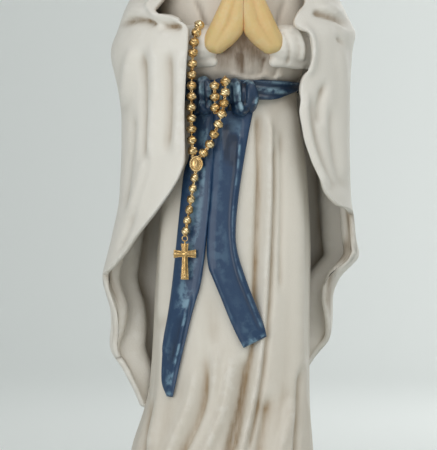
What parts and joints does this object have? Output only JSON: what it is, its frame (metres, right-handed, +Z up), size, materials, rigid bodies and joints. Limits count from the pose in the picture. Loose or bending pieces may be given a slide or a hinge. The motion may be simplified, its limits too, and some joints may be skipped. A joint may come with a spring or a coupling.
{
  "type": "madonna statue",
  "caption": "Standing robed madonna figure with joined hands, mantle, tied sash and a hanging bead rosary, on a rock base.",
  "frame": {"origin": "on the flat underside of the base, under the figure's axis", "axes": "+Z up, the figure faces -Y, +X is the figure's own left"},
  "size_m": [0.105, 0.0896, 0.303],
  "materials": {
    "gold_metal": "polished gold-coloured metal, brown in the recesses",
    "gilt_rose": "satin gilt casting",
    "blue_sash": "dark blue paint on cast resin, semi-gloss, pale blue on the edges",
    "waxy_flesh": "tinted cast resin with a waxy satin look",
    "cream_mantle": "satin cream paint on cast resin, brown wash in the folds",
    "cream_gown": "satin cream paint on cast resin, brown wash in the folds",
    "felt": "short green felt",
    "rock": "painted cast resin rock, dry-brushed"
  },
  "bodies": {
    "statue": {"felt_pad": "felt", "base_rock": "rock", "gown_skirt": "cream_gown", "gown_bodice": "cream_gown", "head": "waxy_flesh", "right_hand": "waxy_flesh", "left_hand": "waxy_flesh", "hand_pins": "gold_metal", "right_sleeve": "cream_gown", "left_sleeve": "cream_gown", "mantle": "cream_mantle", "sash_belt": "blue_sash", "sash_long_tail": "blue_sash", "sash_short_tail": "blue_sash", "sash_right_loop": "blue_sash", "sash_left_loop": "blue_sash", "sash_knot": "blue_sash", "right_foot": "waxy_flesh", "left_foot": "waxy_flesh", "right_rose": "gilt_rose", "left_rose": "gilt_rose", "rosary_front_strand": "gold_metal", "rosary_back_strand": "gold_metal", "rosary_tucked_strand": "gold_metal", "rosary_medal": "gold_metal"},
    "drop_link_1": {"rosary_drop_1": "gold_metal"},
    "drop_link_2": {"rosary_drop_2": "gold_metal"},
    "drop_link_3": {"rosary_drop_3": "gold_metal"},
    "drop_link_4": {"rosary_drop_4": "gold_metal"},
    "drop_link_5": {"rosary_drop_5": "gold_metal"},
    "drop_link_6": {"rosary_drop_6": "gold_metal"},
    "crucifix": {"rosary_ring": "gold_metal", "rosary_crucifix": "gold_metal"}
  },
  "joints": [
    {"name": "drop_link_1_swing", "type": "hinge", "parent": "statue", "child": "drop_link_1", "pos_m": [-0.0149, -0.027, 0.1665], "axis": [-1, 0, 0], "range_deg": [0, 35]},
    {"name": "drop_link_2_swing", "type": "hinge", "parent": "drop_link_1", "child": "drop_link_2", "pos_m": [-0.01555, -0.02729, 0.16254], "axis": [-1, 0, 0], "range_deg": [0, 18]},
    {"name": "drop_link_3_swing", "type": "hinge", "parent": "drop_link_2", "child": "drop_link_3", "pos_m": [-0.0162, -0.02759, 0.15859], "axis": [-1, 0, 0], "range_deg": [0, 18]},
    {"name": "drop_link_4_swing", "type": "hinge", "parent": "drop_link_3", "child": "drop_link_4", "pos_m": [-0.01685, -0.02788, 0.15463], "axis": [-1, 0, 0], "range_deg": [0, 18]},
    {"name": "drop_link_5_swing", "type": "hinge", "parent": "drop_link_4", "child": "drop_link_5", "pos_m": [-0.0175, -0.02817, 0.15068], "axis": [-1, 0, 0], "range_deg": [0, 18]},
    {"name": "drop_link_6_swing", "type": "hinge", "parent": "drop_link_5", "child": "drop_link_6", "pos_m": [-0.01816, -0.02847, 0.14672], "axis": [-1, 0, 0], "range_deg": [0, 18]},
    {"name": "crucifix_swing", "type": "hinge", "parent": "drop_link_6", "child": "crucifix", "pos_m": [-0.01881, -0.02876, 0.14276], "axis": [-1, 0, 0], "range_deg": [0, 18]}
  ]
}
